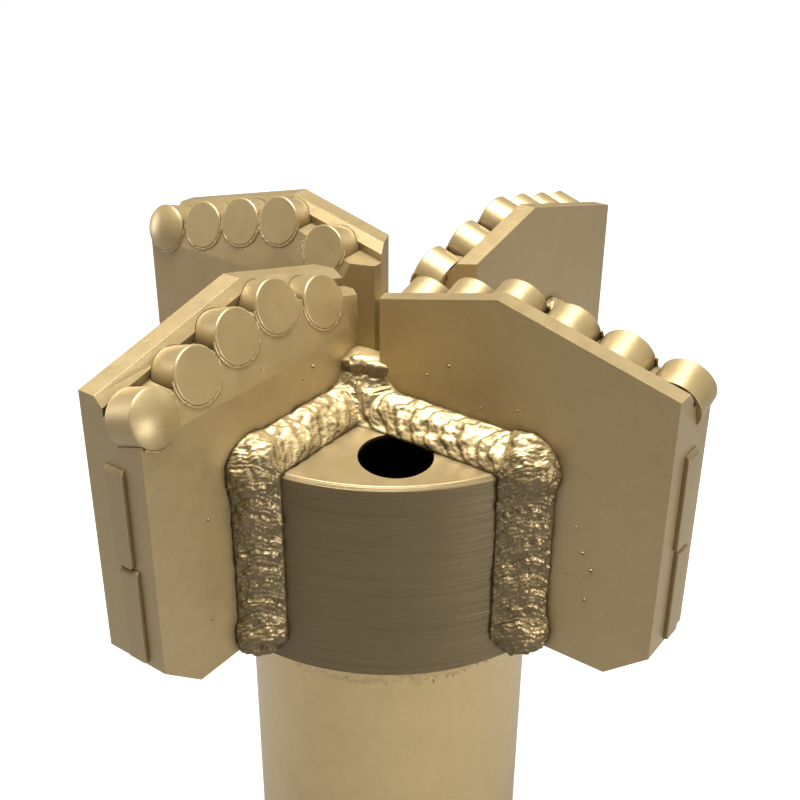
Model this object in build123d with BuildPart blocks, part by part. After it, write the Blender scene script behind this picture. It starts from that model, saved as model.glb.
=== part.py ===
from build123d import *
import math
import os

# Four-wing drag bit for drilling, in millimetres. It stands on the nose of its threaded pin:
# +Z is the bit axis, the cutting face is up, and the origin is on the axis at the pin's nose.

# Driving dimensions
gauge_diameter = 177.8          # hole size that the bit drills
wing_count = 4
cutter_diameter = 13.44
cutter_length = 8.0
cutter_edge_break = 0.35        # small bevel round each flat cutting face
dome_rise = 2.0                 # crown of the domed cutter at the gauge
braze_gap = 0.12                # clearance between a cutter and its pocket, all round
cutter_rake = 18.5              # back rake: how far the cutting faces lean back, in degrees
cutter_proud = 0.5              # how far a cutting face stands out of the band around it
cutter_drop = 5.0               # cutter centre below the roof of the wing

hub_diameter = 112.0
hub_height = 54.0
hub_edge_break = 1.0
plenum_diameter = 48.0          # chamber inside the hub that feeds the ports
plenum_height = 38.0
port_diameter = 18.0
port_circle = 83.0              # circle on which the port mouths lie
port_tilt = 27.0                # the ports are drilled inwards to meet the chamber
port_angle = -52.0              # the first port's place round the axis, in degrees

neck_diameter = 80.0
neck_length = 62.0
waterway_diameter = 25.4
shoulder_bevel = 1.2
pin_base_diameter = 66.7        # tapered pin, 1 in 4 on the diameter
pin_length = 76.2
pin_taper = 0.25
relief_length = 9.5             # plain stretch between the shoulder and the pin
pin_nose_break = 1.5
shank_weld_leg = 8.0            # weld ring: leg along the hub's underside
shank_weld_drop = 12.0          # and down the neck

wing_thickness = 18.0
wing_lead = 0.5                 # leading face, ahead of the plane through the bit axis
wing_gauge_inset = 1.4          # gauge face, inside the drilled radius
nose_radius = 42.3              # where the two slopes of the roof meet
nose_height = 38.8              # roof at the nose, above the hub's top face
gauge_top = 27.2                # roof at the gauge face
inner_top = 31.0                # roof at the wing's inner end
inner_top_radius = 11.0
gauge_bottom = 40.6             # lower corner of the gauge face, below the hub's top face
wing_bottom = 50.0
bottom_corner_radius = 76.6     # where the lower chamfer meets the wing's bottom edge

band_height = 19.0              # lower edge of the raked band, above the hub's top face
ledge_drop = 4.4                # ledge that the cutters stand on, below the roof
ridge_depth = 10.9              # from the leading face back to the ridge behind the cutters
ridge_bevel = 2.2

inner_nose = 3.0                # inner end: how far the blunt point stands out past the back face
inner_nose_depth = 7.5          # from the leading face to the point
inner_nose_flat = 3.0
inner_lead_cut = 4.5

bar_width = 5.4                 # wear bars let into the gauge face
bar_thickness = 3.4
bar_slot_depth = 2.2
bar_depth = 6.2                 # from the leading face to the bar
bar_shift = 1.2                 # the lower bar stands this much nearer the leading face
bar_end_bevel = 1.0
upper_bar_top = 11.6
upper_bar_length = 25.2
lower_bar_length = 25.4
bar_gap = 0.5                   # between the two bars, end to end
bar_fit = 0.05

weld_leg_flat = 9.0             # main weld beads: leg along the hub
weld_leg_wing = 7.2             # and up or out along the wing
weld_crown = 1.1                # how far the bead bulges past a straight bevel
turn_radius = 8.2               # rounded turn of a bead over the hub's edge
tail_radius = 8.4               # rounded end of each upright bead
tail_lift = 3.0
weld_end_height = 48.0          # where the upright beads end, below the hub's top face
inner_weld_radius = 7.5         # short upright bead that ties two wings together at their inner ends
inner_weld_shift = 4.5          # from the leading face of the one wing to the bead's middle
inner_weld_bottom = 9.5
inner_weld_top = 17.5
inner_weld_crown = 3.0

inner_end_near = 9.5            # inner end of the back face, on the two wings that reach further in
inner_end_far = 13.4            # and on the other two

# One row for each wing: name, angle round the axis, where its inner end stops on the back
# face, and how far in from the cutter at the gauge each of its other cutters stands.
wings = [
    ("a", 0.0, inner_end_near, (14.18, 27.48, 40.78, 53.88, 67.58)),
    ("b", -90.0, inner_end_near, (14.58, 28.58, 42.78, 58.18)),
    ("c", 180.0, inner_end_far, (13.98, 27.58, 40.98, 57.78)),
    ("d", 90.0, inner_end_far, (13.98, 27.48, 40.98, 54.38, 68.18)),
]

# Worked out from the driving dimensions
gauge_radius = gauge_diameter / 2
hub_radius = hub_diameter / 2
neck_radius = neck_diameter / 2
cutter_radius = cutter_diameter / 2
pocket_radius = cutter_radius + braze_gap
wing_outer = gauge_radius - wing_gauge_inset
gauge_cutter_place = gauge_radius - cutter_radius
shoulder_z = pin_length
hub_bottom_z = shoulder_z + neck_length
hub_top_z = hub_bottom_z + hub_height
inner_slope = (nose_height - inner_top) / (nose_radius - inner_top_radius)
outer_slope = (nose_height - gauge_top) / (wing_outer - nose_radius)
rake = math.radians(cutter_rake)
port_depth = (port_circle - plenum_diameter) / 2 / math.sin(math.radians(port_tilt))
lower_bar_top = upper_bar_top - upper_bar_length - bar_gap
bar_rows = (
    (upper_bar_top, upper_bar_length, bar_depth),
    (lower_bar_top, lower_bar_length, bar_depth - bar_shift),
)
beyond = 20.0                   # how far a cutting shape runs past the metal

os.makedirs("parts", exist_ok=True)


def radial(angle):
    return Vector(math.cos(math.radians(angle)), math.sin(math.radians(angle)), 0)


def leading(angle):
    return Vector(-math.sin(math.radians(angle)), math.cos(math.radians(angle)), 0)


def face_plane(angle):
    """The wing's leading face: x runs outward, y up, and z out of the face."""
    origin = leading(angle) * wing_lead + Vector(0, 0, hub_top_z)
    return Plane(origin=origin, x_dir=radial(angle), z_dir=-leading(angle))


def section_plane(angle, radius):
    """Across the wing at a radius: x runs out of the leading face, y up."""
    origin = radial(angle) * radius + leading(angle) * wing_lead + Vector(0, 0, hub_top_z)
    return Plane(origin=origin, x_dir=leading(angle), z_dir=radial(angle))


def plan_plane(angle, height):
    """Level plane: x runs outward along the wing, y towards its leading side."""
    return Plane(origin=(0, 0, hub_top_z + height), x_dir=radial(angle), z_dir=(0, 0, 1))


def roof(radius):
    """Height of the wing's roof above the hub's top face."""
    if radius < nose_radius:
        return nose_height - (nose_radius - radius) * inner_slope
    return nose_height - (radius - nose_radius) * outer_slope


def cutter_plane(angle, radius):
    """The cutting face of the cutter at a radius: z points out of the face."""
    height = roof(radius) - cutter_drop
    depth = (height - band_height) * math.tan(rake) - cutter_proud / math.cos(rake)
    origin = radial(angle) * radius + leading(angle) * (wing_lead - depth)
    normal = leading(angle) * math.cos(rake) + Vector(0, 0, math.sin(rake))
    return Plane(origin=origin + Vector(0, 0, hub_top_z + height), x_dir=radial(angle), z_dir=normal)


def write(piece, name):
    piece.part.label = name
    export_step(piece.part, "parts/" + name + ".step")


# Hub: a thick round body, hollow below, with one port between each two wings
with BuildPart() as hub:
    with BuildSketch(Plane.XY.offset(hub_bottom_z)):
        Circle(hub_radius)
    extrude(amount=hub_height)
    chamfer(hub.edges().group_by(Axis.Z)[-1], hub_edge_break)
    with BuildSketch(Plane.XY.offset(hub_bottom_z)):
        Circle(plenum_diameter / 2)
    extrude(amount=plenum_height, mode=Mode.SUBTRACT)
    for step in range(wing_count):
        side = port_angle + step * 360 / wing_count
        tilt = math.radians(port_tilt)
        mouth = radial(side) * (port_circle / 2) + Vector(0, 0, hub_top_z)
        outward = radial(side) * math.sin(tilt) + Vector(0, 0, math.cos(tilt))
        with BuildSketch(Plane(origin=mouth, x_dir=leading(side), z_dir=outward)):
            Circle(port_diameter / 2)
        extrude(amount=port_depth, both=True, mode=Mode.SUBTRACT)
write(hub, "hub")

# Shank: neck, make-up shoulder and tapered pin, turned from one bar and bored through
pin_top_radius = pin_base_diameter / 2
pin_nose_radius = pin_top_radius - pin_taper / 2 * (pin_length - relief_length)
with BuildPart() as shank:
    with BuildSketch(Plane.XZ):
        with BuildLine():
            Polyline(
                (waterway_diameter / 2, 0),
                (pin_nose_radius, 0),
                (pin_top_radius, shoulder_z - relief_length),
                (pin_top_radius, shoulder_z),
                (neck_radius - shoulder_bevel, shoulder_z),
                (neck_radius, shoulder_z + shoulder_bevel),
                (neck_radius, hub_bottom_z),
                (waterway_diameter / 2, hub_bottom_z),
                close=True,
            )
        make_face()
    revolve(axis=Axis.Z)
    chamfer(shank.edges().filter_by(GeomType.CIRCLE).group_by(Axis.Z)[0].sort_by(SortBy.LENGTH)[-1], pin_nose_break)
write(shank, "shank")

# Weld ring between the hub's underside and the neck
with BuildPart() as shank_weld:
    with BuildSketch(Plane.XZ):
        with BuildLine():
            top = (neck_radius + shank_weld_leg, hub_bottom_z)
            foot = (neck_radius, hub_bottom_z - shank_weld_drop)
            middle = (neck_radius + shank_weld_leg * 0.42, hub_bottom_z - shank_weld_drop * 0.42)
            ThreePointArc(top, middle, foot)
            Line(foot, (neck_radius, hub_bottom_z))
            Line((neck_radius, hub_bottom_z), top)
        make_face()
    revolve(axis=Axis.Z)
write(shank_weld, "shank_weld")


def make_wing(angle, inner_end, places):
    """One wing plate with its raked band, ledge, ridge, cutter pockets and bar slots."""
    face = face_plane(angle)
    tip = inner_end - inner_nose
    with BuildPart() as wing:
        # profile of the plate, notched to stand on the hub's top face and against its side
        with BuildSketch(face):
            with BuildLine():
                Polyline(
                    (tip, 0),
                    (tip, roof(tip)),
                    (nose_radius, nose_height),
                    (wing_outer, gauge_top),
                    (wing_outer, -gauge_bottom),
                    (bottom_corner_radius, -wing_bottom),
                    (neck_radius, -wing_bottom),
                    (neck_radius, 0),
                    close=True,
                )
            make_face()
        extrude(amount=wing_thickness)
        with BuildSketch(Plane.XY.offset(hub_top_z)):
            Circle(hub_radius)
        extrude(amount=-hub_height, mode=Mode.SUBTRACT)
        # inner end ground to a blunt point, so that the four ends clear each other
        with BuildSketch(plan_plane(angle, 0)):
            with BuildLine():
                Polyline(
                    (inner_end, wing_lead - wing_thickness),
                    (tip, wing_lead - inner_nose_depth - inner_nose_flat),
                    (tip, wing_lead - inner_nose_depth),
                    (inner_end + inner_lead_cut, wing_lead),
                    (inner_end + inner_lead_cut, wing_lead + beyond),
                    (tip - beyond, wing_lead + beyond),
                    (tip - beyond, -wing_thickness - beyond),
                    (inner_end, -wing_thickness - beyond),
                    close=True,
                )
            make_face()
        extrude(amount=nose_height, mode=Mode.SUBTRACT)
        # ledge in front of the ridge
        with BuildSketch(face):
            with BuildLine():
                Polyline(
                    (0, roof(0) - ledge_drop),
                    (nose_radius, nose_height - ledge_drop),
                    (gauge_radius, roof(gauge_radius) - ledge_drop),
                    (gauge_radius, nose_height + beyond),
                    (0, nose_height + beyond),
                    close=True,
                )
            make_face()
        extrude(amount=ridge_depth, mode=Mode.SUBTRACT)
        # raked band below the ledge
        with BuildSketch(section_plane(angle, 0)):
            with BuildLine():
                Polyline(
                    (0, band_height),
                    (beyond, band_height),
                    (beyond, band_height + nose_height),
                    (-nose_height * math.tan(rake), band_height + nose_height),
                    close=True,
                )
            make_face()
        extrude(amount=gauge_radius, mode=Mode.SUBTRACT)
        # bevel along the front of the ridge, on both slopes
        front = []
        for edge in wing.edges().filter_by(GeomType.LINE):
            spot = face.to_local_coords(edge.center())
            if abs(spot.Z - ridge_depth) < 0.01 and abs(spot.Y - roof(spot.X)) < 0.01:
                front.append(edge)
        chamfer(front, ridge_bevel)
        # a half-round pocket for each cutter
        for radius in places:
            with BuildSketch(cutter_plane(angle, radius).offset(-cutter_length)):
                Circle(pocket_radius)
            extrude(amount=cutter_length + beyond, mode=Mode.SUBTRACT)
        # slots for the two wear bars in the gauge face
        for top, length, depth in bar_rows:
            with BuildSketch(face.offset(depth - bar_fit)):
                with Locations((wing_outer, top - length / 2)):
                    Rectangle(bar_slot_depth * 2, length + bar_fit * 2)
            extrude(amount=bar_width + bar_fit * 2, mode=Mode.SUBTRACT)
    return wing


def make_cutter(angle, radius, domed):
    """One sintered cutter: a cylinder with a flat or a crowned cutting face."""
    plane = cutter_plane(angle, radius)
    crown_radius = (cutter_radius**2 + dome_rise**2) / 2 / dome_rise
    half_turn = math.asin(cutter_radius / crown_radius) / 2
    with BuildPart() as cutter:
        with BuildSketch(Plane(origin=plane.origin, x_dir=plane.x_dir, z_dir=-plane.y_dir)):
            with BuildLine():
                Line((0, -cutter_length), (cutter_radius, -cutter_length))
                if domed:
                    Line((cutter_radius, -cutter_length), (cutter_radius, 0))
                    ThreePointArc(
                        (cutter_radius, 0),
                        (
                            crown_radius * math.sin(half_turn),
                            dome_rise - crown_radius * (1 - math.cos(half_turn)),
                        ),
                        (0, dome_rise),
                    )
                    Line((0, dome_rise), (0, -cutter_length))
                else:
                    Line((cutter_radius, -cutter_length), (cutter_radius, -cutter_edge_break))
                    Line((cutter_radius, -cutter_edge_break), (cutter_radius - cutter_edge_break, 0))
                    Line((cutter_radius - cutter_edge_break, 0), (0, 0))
                    Line((0, 0), (0, -cutter_length))
            make_face()
        revolve(axis=Axis(plane.origin, plane.z_dir))
    return cutter


def make_bar(angle, top, length, depth):
    """One wear bar, seated in its slot, with its upper end bevelled."""
    with BuildPart() as bar:
        with BuildSketch(face_plane(angle).offset(depth)):
            with Locations((wing_outer - bar_slot_depth, top - length)):
                Rectangle(bar_thickness, length, align=(Align.MIN, Align.MIN))
        extrude(amount=bar_width)
        crest = bar.edges().group_by(Axis.Z)[-1].sort_by(Axis(Vector(0, 0, 0), radial(angle)))[-1]
        chamfer(crest, bar_end_bevel)
    return bar


wing_parts = {}
for name, angle, inner_end, steps_in in wings:
    places = [gauge_cutter_place] + [gauge_cutter_place - step for step in steps_in]
    wing_parts[name] = make_wing(angle, inner_end, places)
    write(wing_parts[name], "wing_" + name)
    for number, radius in enumerate(places, start=1):
        cutter = make_cutter(angle, radius, number == 1)
        write(cutter, "cutter_" + name + str(number))
    for row, (top, length, depth) in zip(("upper", "lower"), bar_rows):
        bar = make_bar(angle, top, length, depth)
        write(bar, "wear_bar_" + name + "_" + row)


def bead_section(corner_x, reach, rise):
    """Outline of a fillet bead: two legs from the corner, and a slightly crowned face."""
    middle_x = corner_x + reach / 2
    lift = weld_crown if reach > 0 else -weld_crown
    ThreePointArc((corner_x + reach, 0), (middle_x + lift, rise / 2 + weld_crown), (corner_x, rise))
    Line((corner_x, rise), (corner_x, 0))
    Line((corner_x, 0), (corner_x + reach, 0))


def make_quadrant_weld(front, back):
    """Beads in the angle between the leading face of one wing and the back of the next."""
    with BuildPart() as weld:
        for wing_angle, side, start in (
            (front, 1, wing_thickness - wing_lead),
            (back, -1, wing_lead),
        ):
            face_y = wing_lead if side > 0 else wing_lead - wing_thickness
            edge_radius = math.sqrt(hub_radius**2 - face_y**2)
            # bead along the hub's top face
            with BuildSketch(section_plane(wing_angle, start)):
                with BuildLine():
                    bead_section(face_y - wing_lead, side * weld_leg_flat, weld_leg_wing)
                make_face()
            extrude(amount=edge_radius - start)
            # bead down the hub's side
            hub_leg_y = face_y + side * weld_leg_flat
            hub_leg = math.sqrt(hub_radius**2 - hub_leg_y**2)
            with BuildSketch(plan_plane(wing_angle, -weld_end_height)):
                with BuildLine():
                    outer = (edge_radius + weld_leg_wing, face_y)
                    inner = (hub_leg, hub_leg_y)
                    middle_u = (outer[0] + inner[0]) / 2 + weld_crown
                    middle_v = (outer[1] + inner[1]) / 2 + side * weld_crown
                    ThreePointArc(outer, (middle_u, middle_v), inner)
                    Line(inner, (hub_leg - weld_leg_flat, face_y))
                    Line((hub_leg - weld_leg_flat, face_y), outer)
                make_face()
            extrude(amount=weld_end_height)
            # rounded turn at the hub's edge, and the rounded end where the bead was finished
            plan = plan_plane(wing_angle, 0)
            turn = plan.from_local_coords(Vector(edge_radius, face_y, 0))
            tail = plan.from_local_coords(Vector(edge_radius, face_y, -weld_end_height + tail_lift))
            with Locations(turn):
                Sphere(turn_radius)
            with Locations(tail):
                Sphere(tail_radius)
    return weld


for number, (front, back) in enumerate((("b", "a"), ("c", "b"), ("d", "c"), ("a", "d")), start=1):
    angles = {name: angle for name, angle, inner_end, steps_in in wings}
    rough = make_quadrant_weld(angles[front], angles[back])
    with BuildPart() as weld:
        add(rough.part)
        with BuildSketch(Plane.XY.offset(hub_top_z)):
            Circle(hub_radius)
        extrude(amount=-hub_height, mode=Mode.SUBTRACT)
        add(wing_parts[front].part, mode=Mode.SUBTRACT)
        add(wing_parts[back].part, mode=Mode.SUBTRACT)
    write(weld, "weld_" + front + back)


# Short bead high in the corner, from the back of one wing to the leading face of the next
def make_inner_weld(front, back):
    """One tie bead, its middle in line with the back face of the following wing."""
    angle = angles[front]
    out = wing_thickness - wing_lead
    with BuildPart() as tie:
        with BuildSketch(plan_plane(angle, inner_weld_bottom)):
            with Locations((out, wing_lead + inner_weld_shift)):
                Circle(inner_weld_radius)
        extrude(amount=inner_weld_top - inner_weld_bottom)
        fillet(tie.edges().group_by(Axis.Z)[-1], inner_weld_crown)
        add(wing_parts[front].part, mode=Mode.SUBTRACT)
        add(wing_parts[back].part, mode=Mode.SUBTRACT)
    return tie


for front, back in (("b", "a"), ("c", "b"), ("d", "c"), ("a", "d")):
    write(make_inner_weld(front, back), "tie_weld_" + front + back)
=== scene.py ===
import math

import bmesh
import bpy
from mathutils import Matrix, Vector


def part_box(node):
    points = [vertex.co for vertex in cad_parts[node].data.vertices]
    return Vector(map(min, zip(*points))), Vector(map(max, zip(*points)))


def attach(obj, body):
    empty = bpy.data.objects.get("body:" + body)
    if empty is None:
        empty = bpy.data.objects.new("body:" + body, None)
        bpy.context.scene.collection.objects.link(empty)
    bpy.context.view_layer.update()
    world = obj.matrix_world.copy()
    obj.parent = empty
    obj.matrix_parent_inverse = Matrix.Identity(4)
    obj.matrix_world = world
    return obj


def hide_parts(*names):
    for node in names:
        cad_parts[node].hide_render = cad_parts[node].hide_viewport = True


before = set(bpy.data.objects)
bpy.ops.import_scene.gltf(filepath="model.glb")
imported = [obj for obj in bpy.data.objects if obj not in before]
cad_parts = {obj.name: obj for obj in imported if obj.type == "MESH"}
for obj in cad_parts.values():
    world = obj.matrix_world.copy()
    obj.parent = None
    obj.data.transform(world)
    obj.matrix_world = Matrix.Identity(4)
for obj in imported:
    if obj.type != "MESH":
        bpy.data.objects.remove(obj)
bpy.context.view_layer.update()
print("frame loaded:", len(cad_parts), "nodes")

mm = 0.001
hubLow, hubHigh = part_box("hub")
hubTop = hubHigh.z
hubRadius = (hubHigh.x - hubLow.x) / 2


def upright(height):
    return Vector((0, 0, height))


class Wing:
    # one wing's directions, and its plate's faces measured across it from the bit axis
    def __init__(self, name, degrees):
        turn = math.radians(degrees)
        self.name = name
        self.out = Vector((math.cos(turn), math.sin(turn), 0))
        self.ahead = Vector((-math.sin(turn), math.cos(turn), 0))
        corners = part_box("wing_" + name)
        across = [corner.dot(self.ahead) for corner in corners]
        along = [corner.dot(self.out) for corner in corners]
        self.lead, self.back = max(across), min(across)
        self.inner, self.outer = min(along), max(along)

    def spot(self, along, across, height):
        # outward along the wing, towards its leading side, above the hub's top face
        return self.out * along + self.ahead * across + upright(hubTop + height)


wings = {"a": Wing("a", 0), "b": Wing("b", -90), "c": Wing("c", 180), "d": Wing("d", 90)}
# in each quadrant a wing's leading face meets the back of the wing ahead of it
quadrants = [(wings[front], wings[back]) for front, back in ("ba", "cb", "dc", "ad")]


class Wire:
    # one output socket, with sums written as Python expressions
    def __init__(self, graph, socket):
        self.graph = graph
        self.socket = socket

    def sum(self, operation, first, second=None, clamp=False):
        sockets = {0: first}
        if second is not None:
            sockets[1] = second
        settings = {"operation": operation, "use_clamp": clamp}
        return self.graph.add("ShaderNodeMath", settings, sockets).out()

    def __add__(self, other):
        return self.sum("ADD", self, other)

    def __radd__(self, other):
        return self.sum("ADD", other, self)

    def __sub__(self, other):
        return self.sum("SUBTRACT", self, other)

    def __rsub__(self, other):
        return self.sum("SUBTRACT", other, self)

    def __mul__(self, other):
        return self.sum("MULTIPLY", self, other)

    def __rmul__(self, other):
        return self.sum("MULTIPLY", other, self)

    def __truediv__(self, other):
        return self.sum("DIVIDE", self, other)

    def sine(self):
        return self.sum("SINE", self)

    def clamped(self):
        return self.sum("ADD", self, 0.0, clamp=True)

    def fraction(self):
        return self.sum("FRACT", self)


class Made:
    def __init__(self, graph, node):
        self.graph = graph
        self.node = node

    def out(self, key=0):
        return Wire(self.graph, self.node.outputs[key])


class Graph:
    def __init__(self, tree):
        self.tree = tree

    def add(self, kind, settings=None, sockets=None):
        node = self.tree.nodes.new(kind)
        for key, value in (settings or {}).items():
            setattr(node, key, value)
        for key, value in (sockets or {}).items():
            if isinstance(value, Wire):
                self.tree.links.new(value.socket, node.inputs[key])
            else:
                node.inputs[key].default_value = value
        return Made(self, node)

    def noise(self, place, scale, detail=3.0, roughness=0.55):
        sockets = {"Vector": place, "Scale": scale, "Detail": detail, "Roughness": roughness}
        return self.add("ShaderNodeTexNoise", None, sockets).out()

    def mix(self, factor, first, second):
        settings = {"data_type": "RGBA", "clamp_factor": True}
        return self.add("ShaderNodeMix", settings, {0: factor, 6: first, 7: second}).out(2)


def freshGraph(holder):
    holder.use_nodes = True
    holder.node_tree.nodes.clear()
    return Graph(holder.node_tree)


paintLook = {
    "light": (0.620, 0.475, 0.240),
    "deep": (0.440, 0.325, 0.145),
    "soot": (0.050, 0.036, 0.018),
    "metallic": 0.50,
    "roughness": 0.40,
    "coat": 0.60,
    "coatRoughness": 0.32,
}
grainLook = {  # marks to the metre, from broad clouds to fine tooth
    "cloud": 38.0,
    "mottle": 260.0,
    "pit": 330.0,
    "wave": 420.0,
    "speck": 1300.0,
    "tooth": 2600.0,
    "latheLine": (12.0, 12.0, 2300.0),
    "latheBand": (5.0, 5.0, 420.0),
    "latheDirt": 0.45,
    "dirtReach": 0.005,     # metres from a corner
    "portLip": 0.6 * mm,
    "portShade": 0.12,
}


def scaled(graph, vector, amount):
    return graph.add("ShaderNodeVectorMath", {"operation": "SCALE"}, {0: vector, "Scale": amount}).out()


def shaded(colour, shade):
    return tuple(channel * shade for channel in colour) + (1.0,)


def pitMask(graph, place, mottle):
    # small dimples that come in patches
    sockets = {"Vector": place, "Scale": grainLook["pit"]}
    cells = graph.add("ShaderNodeTexVoronoi", {"feature": "F1"}, sockets)
    return ((0.16 - cells.out("Distance")) * 9.0).clamped() * (mottle * 2.0 - 0.85).clamped()


def latheMarks(graph, place, scale, detail, roughness):
    # marks that run level round the turned side
    squashed = graph.add("ShaderNodeMapping", None, {"Vector": place, "Scale": scale})
    return graph.noise(squashed.out(), 1.0, detail, roughness)


def wallMask(graph):
    # whole on upright surfaces, nothing on level ones
    facing = graph.add("ShaderNodeNewGeometry").out("True Normal")
    lift = graph.add("ShaderNodeSeparateXYZ", None, {"Vector": facing}).out("Z")
    return ((0.80 - lift) * 2.0).clamped()


def portMask(graph, place, bore):
    # below the hub's top face and within the given radius, where ports and chamber are
    apart = graph.add("ShaderNodeSeparateXYZ", None, {"Vector": place})
    reach = apart.out("X") * apart.out("X") + apart.out("Y") * apart.out("Y")
    within = ((bore * bore - reach) * 20000.0).clamped()
    return within * ((hubTop - grainLook["portLip"] - apart.out("Z")) * 900.0).clamped()


def cornerMask(graph):
    # painted shade: a mask for corners that the light hardly reaches
    reach = {"Distance": grainLook["dirtReach"]}
    clear = graph.add("ShaderNodeAmbientOcclusion", {"samples": 8}, reach).out("AO")
    return ((0.86 - clear) * 1.5).clamped()


def goldPaint(
    name, grain=1.0, peel=0.5, pits=0.0, turned=0.0, paintedCornerShade=0.6, rough=0.0, shade=1.0, bore=0.0, paintedWallShade=0.0
):
    # satin gold paint over metal: grain is fine tooth, peel slow waviness, pits small dimples darkened
    # with painted shade, turned a lathe's level marks with darker lines, the corner factor painted shade
    # in corners, bore the radius inside which the hub's ports and chamber are painted near black as shade,
    # the wall factor painted shade and a dimmer coat on upright surfaces, shade the level of the whole
    # colour, painted light and shade for each finish
    material = bpy.data.materials.new(name)
    graph = freshGraph(material)
    place = graph.add("ShaderNodeTexCoord").out("Object")
    cloud = graph.noise(place, grainLook["cloud"])
    mottle = graph.noise(place, grainLook["mottle"], 4.0, 0.6)
    tooth = graph.noise(place, grainLook["tooth"], 2.0, 0.6)
    wave = graph.noise(place, grainLook["wave"], 2.0, 0.5)
    tone = (cloud * 0.6 + mottle * 0.5 - 0.05).clamped()
    light, deep = paintLook["light"], paintLook["deep"]
    colour = graph.mix(tone, shaded(deep, shade), shaded(light, shade))
    speck = graph.noise(place, grainLook["speck"], 4.0, 0.75)
    colour = graph.mix(((speck - 0.60) * 5.0).clamped() * 0.35, colour, shaded(light, 1.25 * shade))
    colour = graph.mix(((0.42 - speck) * 5.0).clamped() * 0.35, colour, shaded(deep, 0.60 * shade))
    height = tooth * (0.016 * grain) + speck * (0.045 * grain) + wave * (0.055 * peel)
    dullness = paintLook["roughness"] + rough + (mottle - 0.5) * 0.20 + (cloud - 0.5) * 0.10
    # near black, used as painted shade in pits, ports and corners
    soot = shaded(paintLook["soot"], 1.0)
    # pits: dimples in the paint, darkened near black with painted shade
    if pits:
        hole = pitMask(graph, place, mottle)
        height = height - hole * (0.28 * pits)
        colour = graph.mix((hole * 0.6).clamped(), colour, soot)
    if turned:
        line = latheMarks(graph, place, grainLook["latheLine"], 3.0, 0.7)
        band = latheMarks(graph, place, grainLook["latheBand"], 2.0, 0.6)
        height = height + line * (0.16 * turned) + band * (0.20 * turned)
        # the lathe lines darker and duller
        groove = shaded(deep, grainLook["latheDirt"] * shade)
        colour = graph.mix(((line - 0.50) * 4.0).clamped() * 0.40, colour, groove)
        dullness = dullness + (line - 0.5) * 0.25
    coat = paintLook["coat"]
    # painted shade: upright surfaces darker and with a dimmer coat, as the light falls from above
    if paintedWallShade:
        wallShadeAmount = wallMask(graph) * paintedWallShade
        colour = scaled(graph, colour, 1.0 - wallShadeAmount)
        coat = (1.0 - wallShadeAmount * 1.2) * coat
    # painted shade: the hub's ports and chamber darkened near black, and a little duller
    if bore:
        portShadeAmount = portMask(graph, place, bore)
        colour = graph.mix(portShadeAmount, colour, shaded(paintLook["soot"], grainLook["portShade"]))
        dullness = dullness + portShadeAmount * 0.2
    # painted shade: corners darkened towards near black where the light hardly reaches
    if paintedCornerShade:
        cornerShadeAmount = cornerMask(graph) * paintedCornerShade
        colour = graph.mix(cornerShadeAmount, colour, soot)
        dullness = dullness + cornerShadeAmount * 0.3
    bump = graph.add("ShaderNodeBump", None, {"Strength": 0.9, "Distance": 0.001, "Height": height})
    shader = graph.add(
        "ShaderNodeBsdfPrincipled",
        None,
        {
            "Base Color": colour,
            "Metallic": paintLook["metallic"],
            "Roughness": dullness.clamped(),
            "Coat Weight": coat.clamped() if paintedWallShade else coat,
            "Coat Roughness": paintLook["coatRoughness"],
            "Normal": bump.out(),
        },
    )
    graph.add("ShaderNodeOutputMaterial", None, {"Surface": shader.out()})
    return material


# the shade factors paint light and shade into each finish: painted shade on the hub, painted light on the
# shank, its weld ring and the welds
finishes = {
    "wing": goldPaint("wingPaint", grain=1.0, peel=0.8, pits=0.8, paintedCornerShade=0.8),
    "cutter": goldPaint("cutterPaint", grain=0.6, peel=0.25, paintedCornerShade=0.9, shade=1.05),
    "bar": goldPaint("barPaint", grain=0.8, peel=0.7, paintedCornerShade=1.0, shade=0.9),
    "hub": goldPaint(
        "hubPaint",
        grain=0.4,
        peel=0.2,
        pits=0.2,
        turned=1.0,
        shade=0.82,
        bore=hubRadius - 0.7 * mm,
        paintedWallShade=0.50,
    ),
    "shank": goldPaint("shankPaint", grain=0.15, peel=0.10, paintedCornerShade=0.3, rough=-0.06, shade=1.50),
    "weld": goldPaint("weldPaint", grain=0.5, peel=0.4, paintedCornerShade=0.6, rough=-0.03, shade=1.30, paintedWallShade=0.66),
    "braze": goldPaint("brazePaint", grain=0.4, peel=0.4, paintedCornerShade=0.4, rough=-0.06, shade=1.1),
}
print("finishes made:", len(finishes))


def newPiece(name, mesh, finish, slot, *nodes):
    piece = bpy.data.objects.new(name, mesh)
    bpy.context.scene.collection.objects.link(piece)
    mesh.materials.clear()
    mesh.materials.append(finishes[finish])
    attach(piece, "root")
    if nodes:
        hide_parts(*nodes)
    return piece


def helperFrom(mesh):
    helper = bpy.data.objects.new("helper", mesh)
    bpy.context.scene.collection.objects.link(helper)
    return helper


def baked(helper):
    # the helper's mesh with its modifiers worked in; the helper itself goes
    bpy.context.view_layer.update()
    seen = helper.evaluated_get(bpy.context.evaluated_depsgraph_get())
    mesh = bpy.data.meshes.new_from_object(seen)
    old = helper.data
    bpy.data.objects.remove(helper)
    if old.users == 0:
        bpy.data.meshes.remove(old)
    return mesh


def meshFrom(bm, name):
    mesh = bpy.data.meshes.new(name)
    bm.to_mesh(mesh)
    bm.free()
    return mesh


def smoothed(mesh, degrees):
    mesh.polygons.foreach_set("use_smooth", [True] * len(mesh.polygons))
    mesh.set_sharp_from_angle(angle=math.radians(degrees))
    return mesh


solidLook = {
    "joinWithin": 0.000002,  # metres
    "flatWithin": 0.4,      # degrees
}


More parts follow.
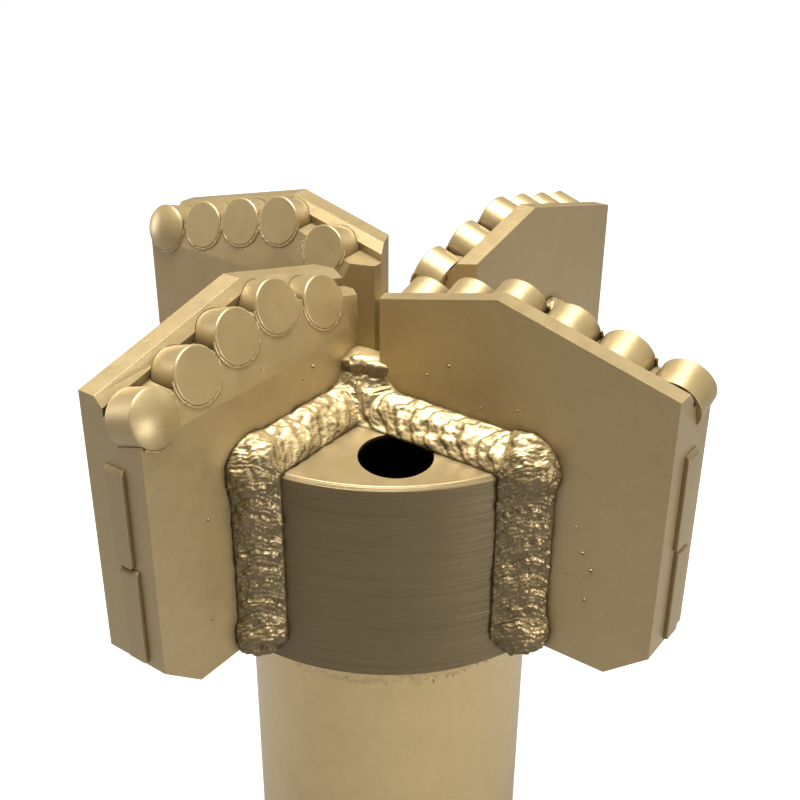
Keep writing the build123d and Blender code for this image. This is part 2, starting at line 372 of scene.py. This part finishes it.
def solidCopy(node):
    # a joined-up copy of a CAD solid, with its flat faces made whole
    bm = bmesh.new()
    bm.from_mesh(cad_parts[node].data)
    bmesh.ops.remove_doubles(bm, verts=bm.verts, dist=solidLook["joinWithin"])
    flat = math.radians(solidLook["flatWithin"])
    bmesh.ops.dissolve_limit(bm, angle_limit=flat, verts=bm.verts, edges=bm.edges)
    return meshFrom(bm, node)


edgeLook = {
    "width": {"wing": 0.40 * mm, "cutter": 0.16 * mm, "wear": 0.35 * mm, "hub": 0.25 * mm},
    "segments": 2,
    "bevelFrom": 28,  # degrees
    "creaseFrom": 3,  # a slight crease stays crisp between two broad faces
    "broad": 20 * mm * mm,
    "evenWeight": 90,
}


def roundedCopy(node, width):
    # the solid with its edges eased, its flats left flat and its slight creases crisp
    helper = helperFrom(solidCopy(node))
    bevel = helper.modifiers.new("edges", "BEVEL")
    bevel.width = width
    bevel.segments = edgeLook["segments"]
    bevel.limit_method = "ANGLE"
    bevel.angle_limit = math.radians(edgeLook["bevelFrom"])
    mesh = baked(helper)
    bm = bmesh.new()
    bm.from_mesh(mesh)
    for face in bm.faces:
        face.smooth = True
    for edge in bm.edges:
        if len(edge.link_faces) == 2:
            turn = math.degrees(edge.calc_face_angle(0))
            smaller = min(face.calc_area() for face in edge.link_faces)
            crease = turn > edgeLook["creaseFrom"] and smaller > edgeLook["broad"]
            edge.smooth = not (crease or turn > 2 * edgeLook["bevelFrom"])
    bm.to_mesh(mesh)
    bm.free()
    helper = helperFrom(mesh)
    even = helper.modifiers.new("even", "WEIGHTED_NORMAL")
    even.mode = "FACE_AREA"
    even.weight = edgeLook["evenWeight"]
    even.keep_sharp = True
    return baked(helper)


for node in sorted(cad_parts):
    kind = node.split("_")[0]
    if kind in edgeLook["width"]:
        finish = "bar" if kind == "wear" else kind
        mesh = roundedCopy(node, edgeLook["width"][kind])
        newPiece(node + "Dressed", mesh, finish, finish + "_paint", node)
print("plates, cutters, bars and hub dressed")


def geometryTree(name, sizes):
    # a tree with its own named inputs: geometry, then one number for each size
    tree = bpy.data.node_groups.new(name, "GeometryNodeTree")
    tree.interface.new_socket("Geometry", in_out="INPUT", socket_type="NodeSocketGeometry")
    tree.interface.new_socket("Geometry", in_out="OUTPUT", socket_type="NodeSocketGeometry")
    for label, value in sizes.items():
        socket = tree.interface.new_socket(label, in_out="INPUT", socket_type="NodeSocketFloat")
        socket.default_value = value
    graph = Graph(tree)
    return graph, graph.add("NodeGroupInput")


def finishTree(graph, geometry, material):
    whole = graph.add("GeometryNodeRealizeInstances", None, {"Geometry": geometry})
    coated = graph.add("GeometryNodeSetMaterial", None, {"Geometry": whole.out(), "Material": material})
    graph.add("NodeGroupOutput", None, {"Geometry": coated.out()})
    return graph.tree


def withTree(mesh, tree, values):
    # the mesh after the tree has worked on it, as a plain mesh
    helper = helperFrom(mesh)
    modifier = helper.modifiers.new("tree", "NODES")
    modifier.node_group = tree
    for item in tree.interface.items_tree:
        if item.item_type == "SOCKET" and item.in_out == "INPUT" and item.name in values:
            modifier[item.identifier] = float(values[item.name])
    return baked(helper)


def named(graph, label):
    reader = graph.add("GeometryNodeInputNamedAttribute", {"data_type": "FLOAT"}, {"Name": label})
    return reader.out("Attribute")


def moved(graph, geometry, offset):
    return graph.add("GeometryNodeSetPosition", None, {"Geometry": geometry, "Offset": offset}).out()


def added(graph, first, second):
    return graph.add("ShaderNodeVectorMath", {"operation": "ADD"}, {0: first, 1: second}).out()


rippleLook = {
    "pitch": 4.6 * mm,
    "height": 0.70 * mm,
    "ridge": 0.24 * mm,
    "bow": 5.0 * mm,
    "wander": 6.0 * mm,
    "lump": 1.8 * mm,
    "grit": 0.16 * mm,
    "seed": 0.0,
}


rippleGrain = {
    "slow": 150.0,          # marks to the metre
    "middling": 420.0,
    "fine": 1500.0,
    "front": 7.0,           # how steep a lobe's front is against its tail
    "ridges": 3.3,          # on each lobe
    "edgeFade": 2.4,
}


def rippleTree():
    # lobes stacked along a bead and bowed across it, finer ridges on them, slow lumps and grit;
    # on the upright beads (steep) the lobes are lower and the ridges and grit coarser
    graph, given = geometryTree("weldRipples", rippleLook)
    along, across, steep = named(graph, "along"), named(graph, "across"), named(graph, "steep")
    place = graph.add("GeometryNodeInputPosition").out()
    shifted = added(graph, place, given.out("seed"))
    slow = graph.noise(shifted, rippleGrain["slow"], 2.0) - 0.5
    middling = graph.noise(shifted, rippleGrain["middling"], 3.0) - 0.5
    fine = graph.noise(shifted, rippleGrain["fine"], 3.0, 0.65) - 0.5
    phase = along - across * across * given.out("bow") + slow * given.out("wander")
    phase = phase / given.out("pitch") + middling * 0.5
    saw = phase.fraction()
    lobe = (saw * rippleGrain["front"]).clamped() * (1.0 - saw)
    ridge = ((phase * rippleGrain["ridges"] + middling * 0.8) * (2 * math.pi)).sine()
    rise = (lobe - 0.45) * given.out("height") * (1.0 - steep * 0.30)
    rise = rise + ridge * given.out("ridge") * (0.35 + steep * 0.75) * (middling * 3.0 + 0.8).clamped()
    rise = rise + (slow * 1.6 + middling * 0.7) * given.out("lump")
    rise = rise + fine * given.out("grit") * (1.0 + steep * 1.2)
    keep = ((1.0 - across * across) * rippleGrain["edgeFade"]).clamped()
    normal = graph.add("GeometryNodeInputNormal").out()
    shape = moved(graph, given.out("Geometry"), scaled(graph, normal, rise * keep))
    return finishTree(graph, shape, finishes["weld"])


ripples = rippleTree()
beadLook = {
    "voxel": 0.42 * mm,
    "turn": 7.8 * mm,       # arc of a bead over the hub's edge
    "tail": 11.0 * mm,      # smooth swell where each upright bead was finished
    "crater": 1.5 * mm,
    "craterDepth": 1.3 * mm,
    "craterLift": 5.5 * mm,  # above the bead's lower end
    "craterPlace": 5.2 * mm,  # from the plate and from the hub's side
    "craterReach": 2.5,     # in crater widths
    "calmAcross": 0.80,     # where the swell lies across the bead, so that its ripples fade
    "firstSeed": 0.11,
    "seedStep": 0.37,
}


def beadPlace(point, wing, face, side):
    # how far along a bead a point lies, where it lies across it, and how upright the bead is
    along, across, height = point.dot(wing.out), point.dot(wing.ahead), point.z - hubTop
    fromWing = max(side * (across - face), 0.0)
    fromHub = math.hypot(along, across) - hubRadius
    edge = math.sqrt(hubRadius**2 - face**2)
    if height > 0 and fromHub < 0:
        return along, (fromWing, height), 0.0
    if height > 0:
        angle = math.atan2(fromHub, height)
        rise = math.hypot(fromHub, height)
        return edge + beadLook["turn"] * angle, (fromWing, rise), angle / (math.pi / 2)
    return edge + beadLook["turn"] * math.pi / 2 - height, (fromWing, max(fromHub, 0.0)), 1.0


def voxelHelper(mesh, voxel):
    # a helper whose mesh is melted into one even skin
    helper = helperFrom(mesh)
    remesh = helper.modifiers.new("remesh", "REMESH")
    remesh.mode = "VOXEL"
    remesh.voxel_size = voxel
    return helper


cornerLook = {
    "root": 3.5 * mm,       # how far the filling runs in between the two wings
    "depth": 4.0 * mm,
    "start": 3 * mm,        # past the next wing's inner end
    "lap": mm,              # how far the filling sinks into the leading face
    # height, reach along the leading face, wrap along the next wing's back face, bulge
    "levels": (
        (-1.0, 11.5, 14.0, 4.5),
        (6.5, 7.0, 6.0, 2.2),
        (10.0, 3.4, 1.8, 0.2),
        (12.8, 3.6, 3.0, 0.8),
        (14.4, -0.5, -2.5, -1.0),
    ),
    "soften": 12,
    "softenShare": 0.5,
    "swell": 0.30 * mm,
}


def cornerLevel(front, back, level):
    # one level of the filled corner between two wings' inner ends
    height, reach, wrap, bulge = (value * mm for value in level)
    corner = front.ahead * front.lead + back.ahead * back.back
    other = back.ahead * back.back + back.out * (back.inner + cornerLook["start"])
    tip, side = corner + front.out * reach, other + back.out * wrap
    middle = (tip + side) / 2 + (front.out + back.out).normalized() * bulge
    lap = cornerLook["lap"]
    inner = corner - front.out * cornerLook["root"] - front.ahead * lap
    far = other + back.ahead * cornerLook["depth"]
    spots = (tip - front.ahead * lap, tip, middle, side, side + back.ahead * lap, far, inner)
    return [spot + upright(hubTop + height) for spot in spots]


def filledWeld(node, front, back):
    # the quadrant's weld with its corner filled up to the tie, melted into one skin
    bm = bmesh.new()
    bm.from_mesh(solidCopy(node))
    levels = [cornerLevel(front, back, level) for level in cornerLook["levels"]]
    for low, high in zip(levels, levels[1:]):
        spots = [bm.verts.new(spot) for spot in low + high]
        made = bmesh.ops.convex_hull(bm, input=spots)
        inside = set(made["geom_interior"] + made["geom_unused"])
        loose = [item for item in inside if isinstance(item, bmesh.types.BMVert)]
        bmesh.ops.delete(bm, geom=loose, context="VERTS")
    helper = voxelHelper(meshFrom(bm, node), beadLook["voxel"])
    soften = helper.modifiers.new("soften", "SMOOTH")
    soften.factor = cornerLook["softenShare"]
    soften.iterations = cornerLook["soften"]
    swell = helper.modifiers.new("swell", "DISPLACE")
    swell.strength = cornerLook["swell"]
    swell.mid_level = 0.0
    return baked(helper)


def markedBeads(node, front, back):
    # the weld in fine even faces, each point marked with its place on the nearer bead
    bm = bmesh.new()
    bm.from_mesh(filledWeld(node, front, back))
    layers = [bm.verts.layers.float.new(label) for label in ("along", "across", "steep")]
    lowest = min(vert.co.z for vert in bm.verts)
    craters = []
    for wing, face, side in ((front, front.lead, 1), (back, back.back, -1)):
        edge = math.sqrt(hubRadius**2 - face**2)
        offset = beadLook["craterPlace"]
        spot = wing.out * (edge + offset) + wing.ahead * (face + side * offset)
        craters.append(spot + upright(lowest + beadLook["craterLift"]))
    for vert in bm.verts:
        places = [
            beadPlace(vert.co, front, front.lead, 1),
            beadPlace(vert.co, back, back.back, -1),
        ]
        along, (fromWing, fromHub), steep = min(places, key=lambda place: place[1][0])
        span = fromWing + fromHub
        across = (fromHub - fromWing) / span if span > 0 else 1.0
        calm = max(0.0, 1.0 - (vert.co.z - lowest) / beadLook["tail"])
        vert[layers[0]] = along
        vert[layers[1]] = across * (1 - calm) + calm * math.copysign(beadLook["calmAcross"], across)
        vert[layers[2]] = steep
        for crater in craters:
            near = (vert.co - crater).length / beadLook["crater"]
            if near < beadLook["craterReach"]:
                inward = -vert.co * Vector((1, 1, 0))
                vert.co += inward.normalized() * beadLook["craterDepth"] * math.exp(-near * near)
    return meshFrom(bm, node)


for number, (front, back) in enumerate(quadrants):
    pair = front.name + back.name
    values = dict(rippleLook, seed=beadLook["seedStep"] * number + beadLook["firstSeed"])
    mesh = smoothed(withTree(markedBeads("weld_" + pair, front, back), ripples, values), 75)
    name = "quadrantWeld" + str(number + 1)
    newPiece(name, mesh, "weld", "weld_paint", "weld_" + pair, "tie_weld_" + pair)
print("beads and filled corners made")


ringLook = {
    "voxel": 0.8 * mm,
    "lump": 1.5 * mm,
    "height": 0.25 * mm,
    "ridge": 0.06 * mm,
    "grit": 0.05 * mm,
    "drop": 1.55,           # its run down the neck, against the solid's
    "seed": 4.2,
}


def weldRing():
    # the ring under the hub, rippled round its length and drawn down over the neck
    bm = bmesh.new()
    bm.from_mesh(baked(voxelHelper(solidCopy("shank_weld"), ringLook["voxel"])))
    layer = bm.verts.layers.float.new("along")
    for vert in bm.verts:
        vert[layer] = math.atan2(vert.co.y, vert.co.x) * hubRadius
        vert.co.z = hubLow.z - (hubLow.z - vert.co.z) * ringLook["drop"]
    ring = meshFrom(bm, "ring")
    for label in ("across", "steep"):
        ring.attributes.new(label, "FLOAT", "POINT")
    return smoothed(withTree(ring, ripples, dict(rippleLook, **ringLook)), 60)


newPiece("shankWeldRing", weldRing(), "shank", "weld_paint", "shank_weld")
print("weld ring made")

threadLook = {
    "pitch": 5.08 * mm,
    "depth": 2.9 * mm,
    "crest": 0.22,          # share of the pitch that the crest takes
    "rows": 0.30 * mm,
    "columns": 120,
    "runIn": mm,
    "runOut": 5.0 * mm,
    "leastCone": 20 * mm,   # only the pin's slope is longer
    "neckRunsOn": 44.0 * mm,
}


def shankOutline():
    # the turned shank's outer outline from the pin's end up, read off the solid
    spots = {
        (round(vert.co.z, 5), round(math.hypot(vert.co.x, vert.co.y), 5))
        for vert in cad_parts["shank"].data.vertices
    }
    bore = min(radius for level, radius in spots)
    outer = sorted(spot for spot in spots if spot[1] > bore + mm)
    outline = outer[:1]
    for here, after in zip(outer[1:], outer[2:] + outer[-1:]):
        rise, reach = here[0] - outline[-1][0], here[1] - outline[-1][1]
        nextRise, nextReach = after[0] - here[0], after[1] - here[1]
        straight = abs(rise * nextReach - reach * nextRise) < 0.1 * mm * (rise + reach)
        if after == here or not straight:
            outline.append(here)
    return bore, [(radius, level) for level, radius in outline]


def loweredNeck(outline):
    # the neck run further down over the pin than the solid's, and the pin's cone in short rows
    cone = next(
        i for i in range(1, len(outline) - 1)
        if outline[i + 1][0] > outline[i][0] + mm
        and outline[i + 1][1] > outline[i][1] + threadLook["leastCone"]
    )
    (low, start), (high, end) = outline[cone], outline[cone + 1]
    share = 1 - threadLook["neckRunsOn"] / (end - start)
    high, end = low + (high - low) * share, start + (end - start) * share
    lowered = [(radius, level - threadLook["neckRunsOn"]) for radius, level in outline[cone + 2:cone + 5]]
    outline[cone + 1:cone + 5] = [(high, end), (high, lowered[0][1])] + lowered[1:]
    count = int((end - start) / threadLook["rows"])
    dense = [(low + (high - low) * k / count, start + (end - start) * k / count) for k in range(1, count)]
    return outline[:cone + 1] + dense + outline[cone + 1:], low, start, end


def threadCut(level, turn, start, end):
    # how deep the thread is cut at a level, a share of a turn round the pin
    share = (level / threadLook["pitch"] - turn) % 1.0
    slope = abs(share - 0.5) * 2
    cut = max(0.0, 1 - slope / (1 - threadLook["crest"])) * threadLook["depth"]
    return cut * min(1.0, (end - level) / threadLook["runOut"], (level - start) / threadLook["runIn"])


def threadedShank():
    # the shank as one turned skin, with the tapered pin's thread cut into it
    bore, outline = shankOutline()
    closed = [(bore, outline[0][1])] + outline + [(bore, outline[-1][1])]
    outline, low, start, end = loweredNeck(closed)
    columns = threadLook["columns"]
    bm = bmesh.new()
    grid = []
    for radius, level in outline:
        threaded = start < level < end and radius > low
        line = []
        for j in range(columns):
            angle = 2 * math.pi * j / columns
            reach = radius - (threadCut(level, j / columns, start, end) if threaded else 0.0)
            line.append(bm.verts.new((reach * math.cos(angle), reach * math.sin(angle), level)))
        grid.append(line)
    for near, far in zip(grid, grid[1:] + grid[:1]):
        for j in range(columns):
            k = (j + 1) % columns
            bm.faces.new((near[j], near[k], far[k], far[j]))
    bmesh.ops.recalc_face_normals(bm, faces=bm.faces)
    return smoothed(meshFrom(bm, "shankSkin"), 35)


newPiece("threadedShank", threadedShank(), "shank", "shank_paint", "shank")
print("shank and thread made")

brazeLook = {
    "radius": 0.30 * mm,
    "wander": 0.22 * mm,
    "stand": 0.10 * mm,
    "grit": 900.0,
    "level": 0.42,          # the noise that leaves the fillet as it is
    "swing": 3.0,
    "bandHeight": 19.0 * mm,
    "bandLean": 18.5,       # degrees
    "pocketGap": 0.12 * mm,
    "sides": 8,
    "steps": 72,
    "arc": 1.10,            # in half turns
    "arcStart": 0.05,
    "clear": 0.6 * mm,      # from the plate's outer end
    "seed": 0.3,
}


def cutterSpot(node):
    # the middle of a cutter's broadest end, its axis and its radius, measured on the solid
    mesh = solidCopy(node)
    broad = max(mesh.polygons, key=lambda face: face.area)
    axis = -broad.normal.copy()
    middle = broad.center.copy()
    radius = math.sqrt(broad.area / math.pi)
    bpy.data.meshes.remove(mesh)
    return middle, axis, radius


brazeSizes = {key: brazeLook[key] for key in ("radius", "wander", "grit", "seed")}


def brazeTree():
    # a thin irregular fillet along each given line
    graph, given = geometryTree("brazeFillet", brazeSizes)
    curve = graph.add("GeometryNodeMeshToCurve", None, {"Mesh": given.out("Geometry")})
    circle = {"Resolution": brazeLook["sides"], "Radius": given.out("radius")}
    ring = graph.add("GeometryNodeCurvePrimitiveCircle", None, circle)
    tube = graph.add(
        "GeometryNodeCurveToMesh",
        None,
        {"Curve": curve.out(), "Profile Curve": ring.out(), "Fill Caps": True},
    )
    place = graph.add("GeometryNodeInputPosition").out()
    shifted = added(graph, place, given.out("seed"))
    amount = graph.noise(shifted, given.out("grit"), 3.0) - brazeLook["level"]
    normal = graph.add("GeometryNodeInputNormal").out()
    rise = amount * given.out("wander") * brazeLook["swing"]
    shape = moved(graph, tube.out(), scaled(graph, normal, rise))
    return finishTree(graph, shape, finishes["braze"])


def pocketPoints(wing, node):
    # points round the lower side of a pocket's mouth, on the dressed band
    lean = math.radians(brazeLook["bandLean"])
    bandNormal = wing.ahead * math.cos(lean) + upright(math.sin(lean))
    bandFoot = wing.spot(0, wing.lead, brazeLook["bandHeight"])
    middle, axis, radius = cutterSpot(node)
    reach = radius + brazeLook["pocketGap"] + brazeLook["stand"]
    down = axis.cross(wing.out).normalized()
    if down.z > 0:
        down = -down
    points = []
    for step in range(brazeLook["steps"] + 1):
        angle = math.pi * (step / brazeLook["steps"] * brazeLook["arc"] - brazeLook["arcStart"])
        point = middle + (wing.out * math.cos(angle) + down * math.sin(angle)) * reach
        point += axis * ((bandFoot - point).dot(bandNormal) / axis.dot(bandNormal))
        if point.dot(wing.out) < wing.outer - brazeLook["clear"]:
            points.append(point)
    return points


fillets = brazeTree()
for wing in wings.values():
    lines = bmesh.new()
    for node in sorted(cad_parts):
        if node.startswith("cutter_" + wing.name):
            line = [lines.verts.new(point) for point in pocketPoints(wing, node)]
            for near, far in zip(line, line[1:]):
                lines.edges.new((near, far))
    values = dict(brazeSizes, seed=brazeLook["seed"] + wing.out.x + 2 * wing.out.y)
    mesh = withTree(meshFrom(lines, "braze"), fillets, values)
    newPiece("brazeFillets" + wing.name.upper(), smoothed(mesh, 60), "braze", "cutter_paint")
print("braze fillets made")

spatterLook = {
    "density": 15000.0,     # drops on a square metre
    "size": 0.40 * mm,
    "least": 0.35,          # of that size
    "most": 1.35,
    "placeSeed": 7,
    "sizeSeed": 11,
    # strips of plate close to the beads: from, to along the wing, then from, to in height
    "aheadStrips": ((24, 54, 9, 17), (66, 72, -40, -6)),
    "behindStrips": ((22, 56, 9, 19), (64, 72, -44, -4)),
}
spatterSizes = {key: spatterLook[key] for key in ("density", "size")}


def spatterTree():
    # round drops of weld metal scattered over the given faces
    graph, given = geometryTree("weldSpatter", spatterSizes)
    points = graph.add(
        "GeometryNodeDistributePointsOnFaces",
        None,
        {"Mesh": given.out("Geometry"), "Density": given.out("density"), "Seed": spatterLook["placeSeed"]},
    )
    drop = graph.add("GeometryNodeMeshIcoSphere", None, {"Radius": given.out("size"), "Subdivisions": 2})
    span = {2: spatterLook["least"], 3: spatterLook["most"], "Seed": spatterLook["sizeSeed"]}
    chance = graph.add("FunctionNodeRandomValue", {"data_type": "FLOAT"}, span)
    drops = graph.add(
        "GeometryNodeInstanceOnPoints",
        None,
        {"Points": points.out(), "Instance": drop.out(), "Scale": chance.out(1)},
    )
    return finishTree(graph, drops.out(), finishes["weld"])


def spatterHosts():
    # the strips that drops land on, in the order that the drops are drawn in
    hosts = bmesh.new()
    for front, back in quadrants:
        for ahead, behind in zip(spatterLook["aheadStrips"], spatterLook["behindStrips"]):
            for wing, face, strip in ((front, front.lead, ahead), (back, back.back, behind)):
                near, far, low, high = (value * mm for value in strip)
                corners = ((near, low), (far, low), (far, high), (near, high))
                spots = [wing.spot(along, face, height) for along, height in corners]
                hosts.faces.new([hosts.verts.new(spot) for spot in spots])
    return meshFrom(hosts, "spatter")


spatter = withTree(spatterHosts(), spatterTree(), spatterSizes)
newPiece("weldSpatter", smoothed(spatter, 80), "weld", "weld_paint")
print("spatter made")

stageLook = {
    "floor": 8.0,
    "bounce": (0.36, 0.36, 0.36, 1.0),
    "fleck": (0.40, 0.40, 0.40, 1.0),
    "fleckScale": 14.0,
    "white": 0.92,
    "ambient": 0.14,
    "ambientColour": (1.0, 0.98, 0.95, 1.0),
}


def whiteSeen(graph):
    # the rays that see the plain white ground
    path = graph.add("ShaderNodeLightPath")
    seen = path.out("Is Camera Ray") + path.out("Is Transmission Ray")
    return seen.clamped()


def stageMaterial(name):
    # pale floor that the camera sees as white, with the shadow kept on it
    material = bpy.data.materials.new(name)
    graph = freshGraph(material)
    place = graph.add("ShaderNodeTexCoord").out("Object")
    fleck = graph.noise(place, stageLook["fleckScale"]) * 0.5
    seen = whiteSeen(graph)
    colour = graph.mix(fleck, stageLook["bounce"], stageLook["fleck"])
    paper = graph.add("ShaderNodeBsdfPrincipled", None, {"Base Color": colour, "Roughness": 0.8})
    glow = graph.add("ShaderNodeEmission", None, {"Color": (1, 1, 1, 1), "Strength": stageLook["white"]})
    both = graph.add("ShaderNodeAddShader", None, {0: paper.out(), 1: glow.out()})
    mixed = graph.add("ShaderNodeMixShader", None, {0: seen, 1: paper.out(), 2: both.out()})
    graph.add("ShaderNodeOutputMaterial", None, {"Surface": mixed.out()})
    return material


half = stageLook["floor"] / 2
floorMesh = bpy.data.meshes.new("floor")
floorMesh.from_pydata(
    [(-half, -half, 0), (half, -half, 0), (half, half, 0), (-half, half, 0)], [], [(0, 1, 2, 3)]
)
floor = bpy.data.objects.new("floor", floorMesh)
bpy.context.scene.collection.objects.link(floor)
floorMesh.materials.append(stageMaterial("floorPaper"))

world = bpy.data.worlds.new("studio")
bpy.context.scene.world = world
sky = freshGraph(world)
ambient = {"Color": stageLook["ambientColour"], "Strength": stageLook["ambient"]}
dim = sky.add("ShaderNodeBackground", None, ambient)
white = sky.add("ShaderNodeBackground", None, {"Color": (1.0, 1.0, 1.0, 1.0), "Strength": 1.0})
mixed = sky.add("ShaderNodeMixShader", None, {0: whiteSeen(sky), 1: dim.out(), 2: white.out()})
sky.add("ShaderNodeOutputWorld", None, {"Surface": mixed.out()})

lampLook = {  # place, size, power
    "top": ((-0.04, -0.02, 1.05), 0.62, 15.5),
    "left": ((-1.00, -0.28, 0.24), 0.45, 2.4),
    "right": ((0.98, -0.10, 0.16), 0.45, 4.2),
    "rear": ((0.25, 0.95, 0.50), 0.60, 1.0),
}
lampColour = (1.0, 0.97, 0.92)
aim = upright(hubTop)
for label, (spot, size, power) in lampLook.items():
    lamp = bpy.data.lights.new(label, "AREA")
    lamp.shape = "SQUARE"
    lamp.size = size
    lamp.energy = power
    lamp.color = lampColour
    holder = bpy.data.objects.new(label, lamp)
    holder.location = spot
    holder.rotation_euler = (aim - Vector(spot)).to_track_quat("-Z", "Y").to_euler()
    bpy.context.scene.collection.objects.link(holder)

cameraLook = {
    "azimuth": 35.558,
    "elevation": 26.925,
    "distance": 0.34763,
    "target": (-0.01412, 0.02424, -0.01339),  # from the middle of the hub's top face
    "roll": 0.445,
    "lens": 53.47,
    "shift": -0.0341,
    "sensor": 36.0,
    "nearest": 0.01,
}


def makeCamera(look):
    turn = math.radians(look["azimuth"])
    lift = math.radians(look["elevation"])
    roll = math.radians(look["roll"])
    back = Vector((math.sin(turn) * math.cos(lift), -math.cos(turn) * math.cos(lift), math.sin(lift)))
    right = Vector((math.cos(turn), math.sin(turn), 0))
    up = back.cross(right)
    side = right * math.cos(roll) + up * math.sin(roll)
    above = up * math.cos(roll) - right * math.sin(roll)
    data = bpy.data.cameras.new("camera")
    data.sensor_width = look["sensor"]
    data.lens = look["lens"]
    data.shift_y = look["shift"]
    data.clip_start = look["nearest"]
    camera = bpy.data.objects.new("camera", data)
    spot = Vector(look["target"]) + upright(hubTop) + back * look["distance"]
    rows = [(side[i], above[i], back[i], spot[i]) for i in range(3)]
    camera.matrix_world = Matrix(rows + [(0, 0, 0, 1)])
    bpy.context.scene.collection.objects.link(camera)
    bpy.context.scene.camera = camera


makeCamera(cameraLook)
bpy.context.scene.view_settings.view_transform = "Standard"
print("floor, light and camera set")
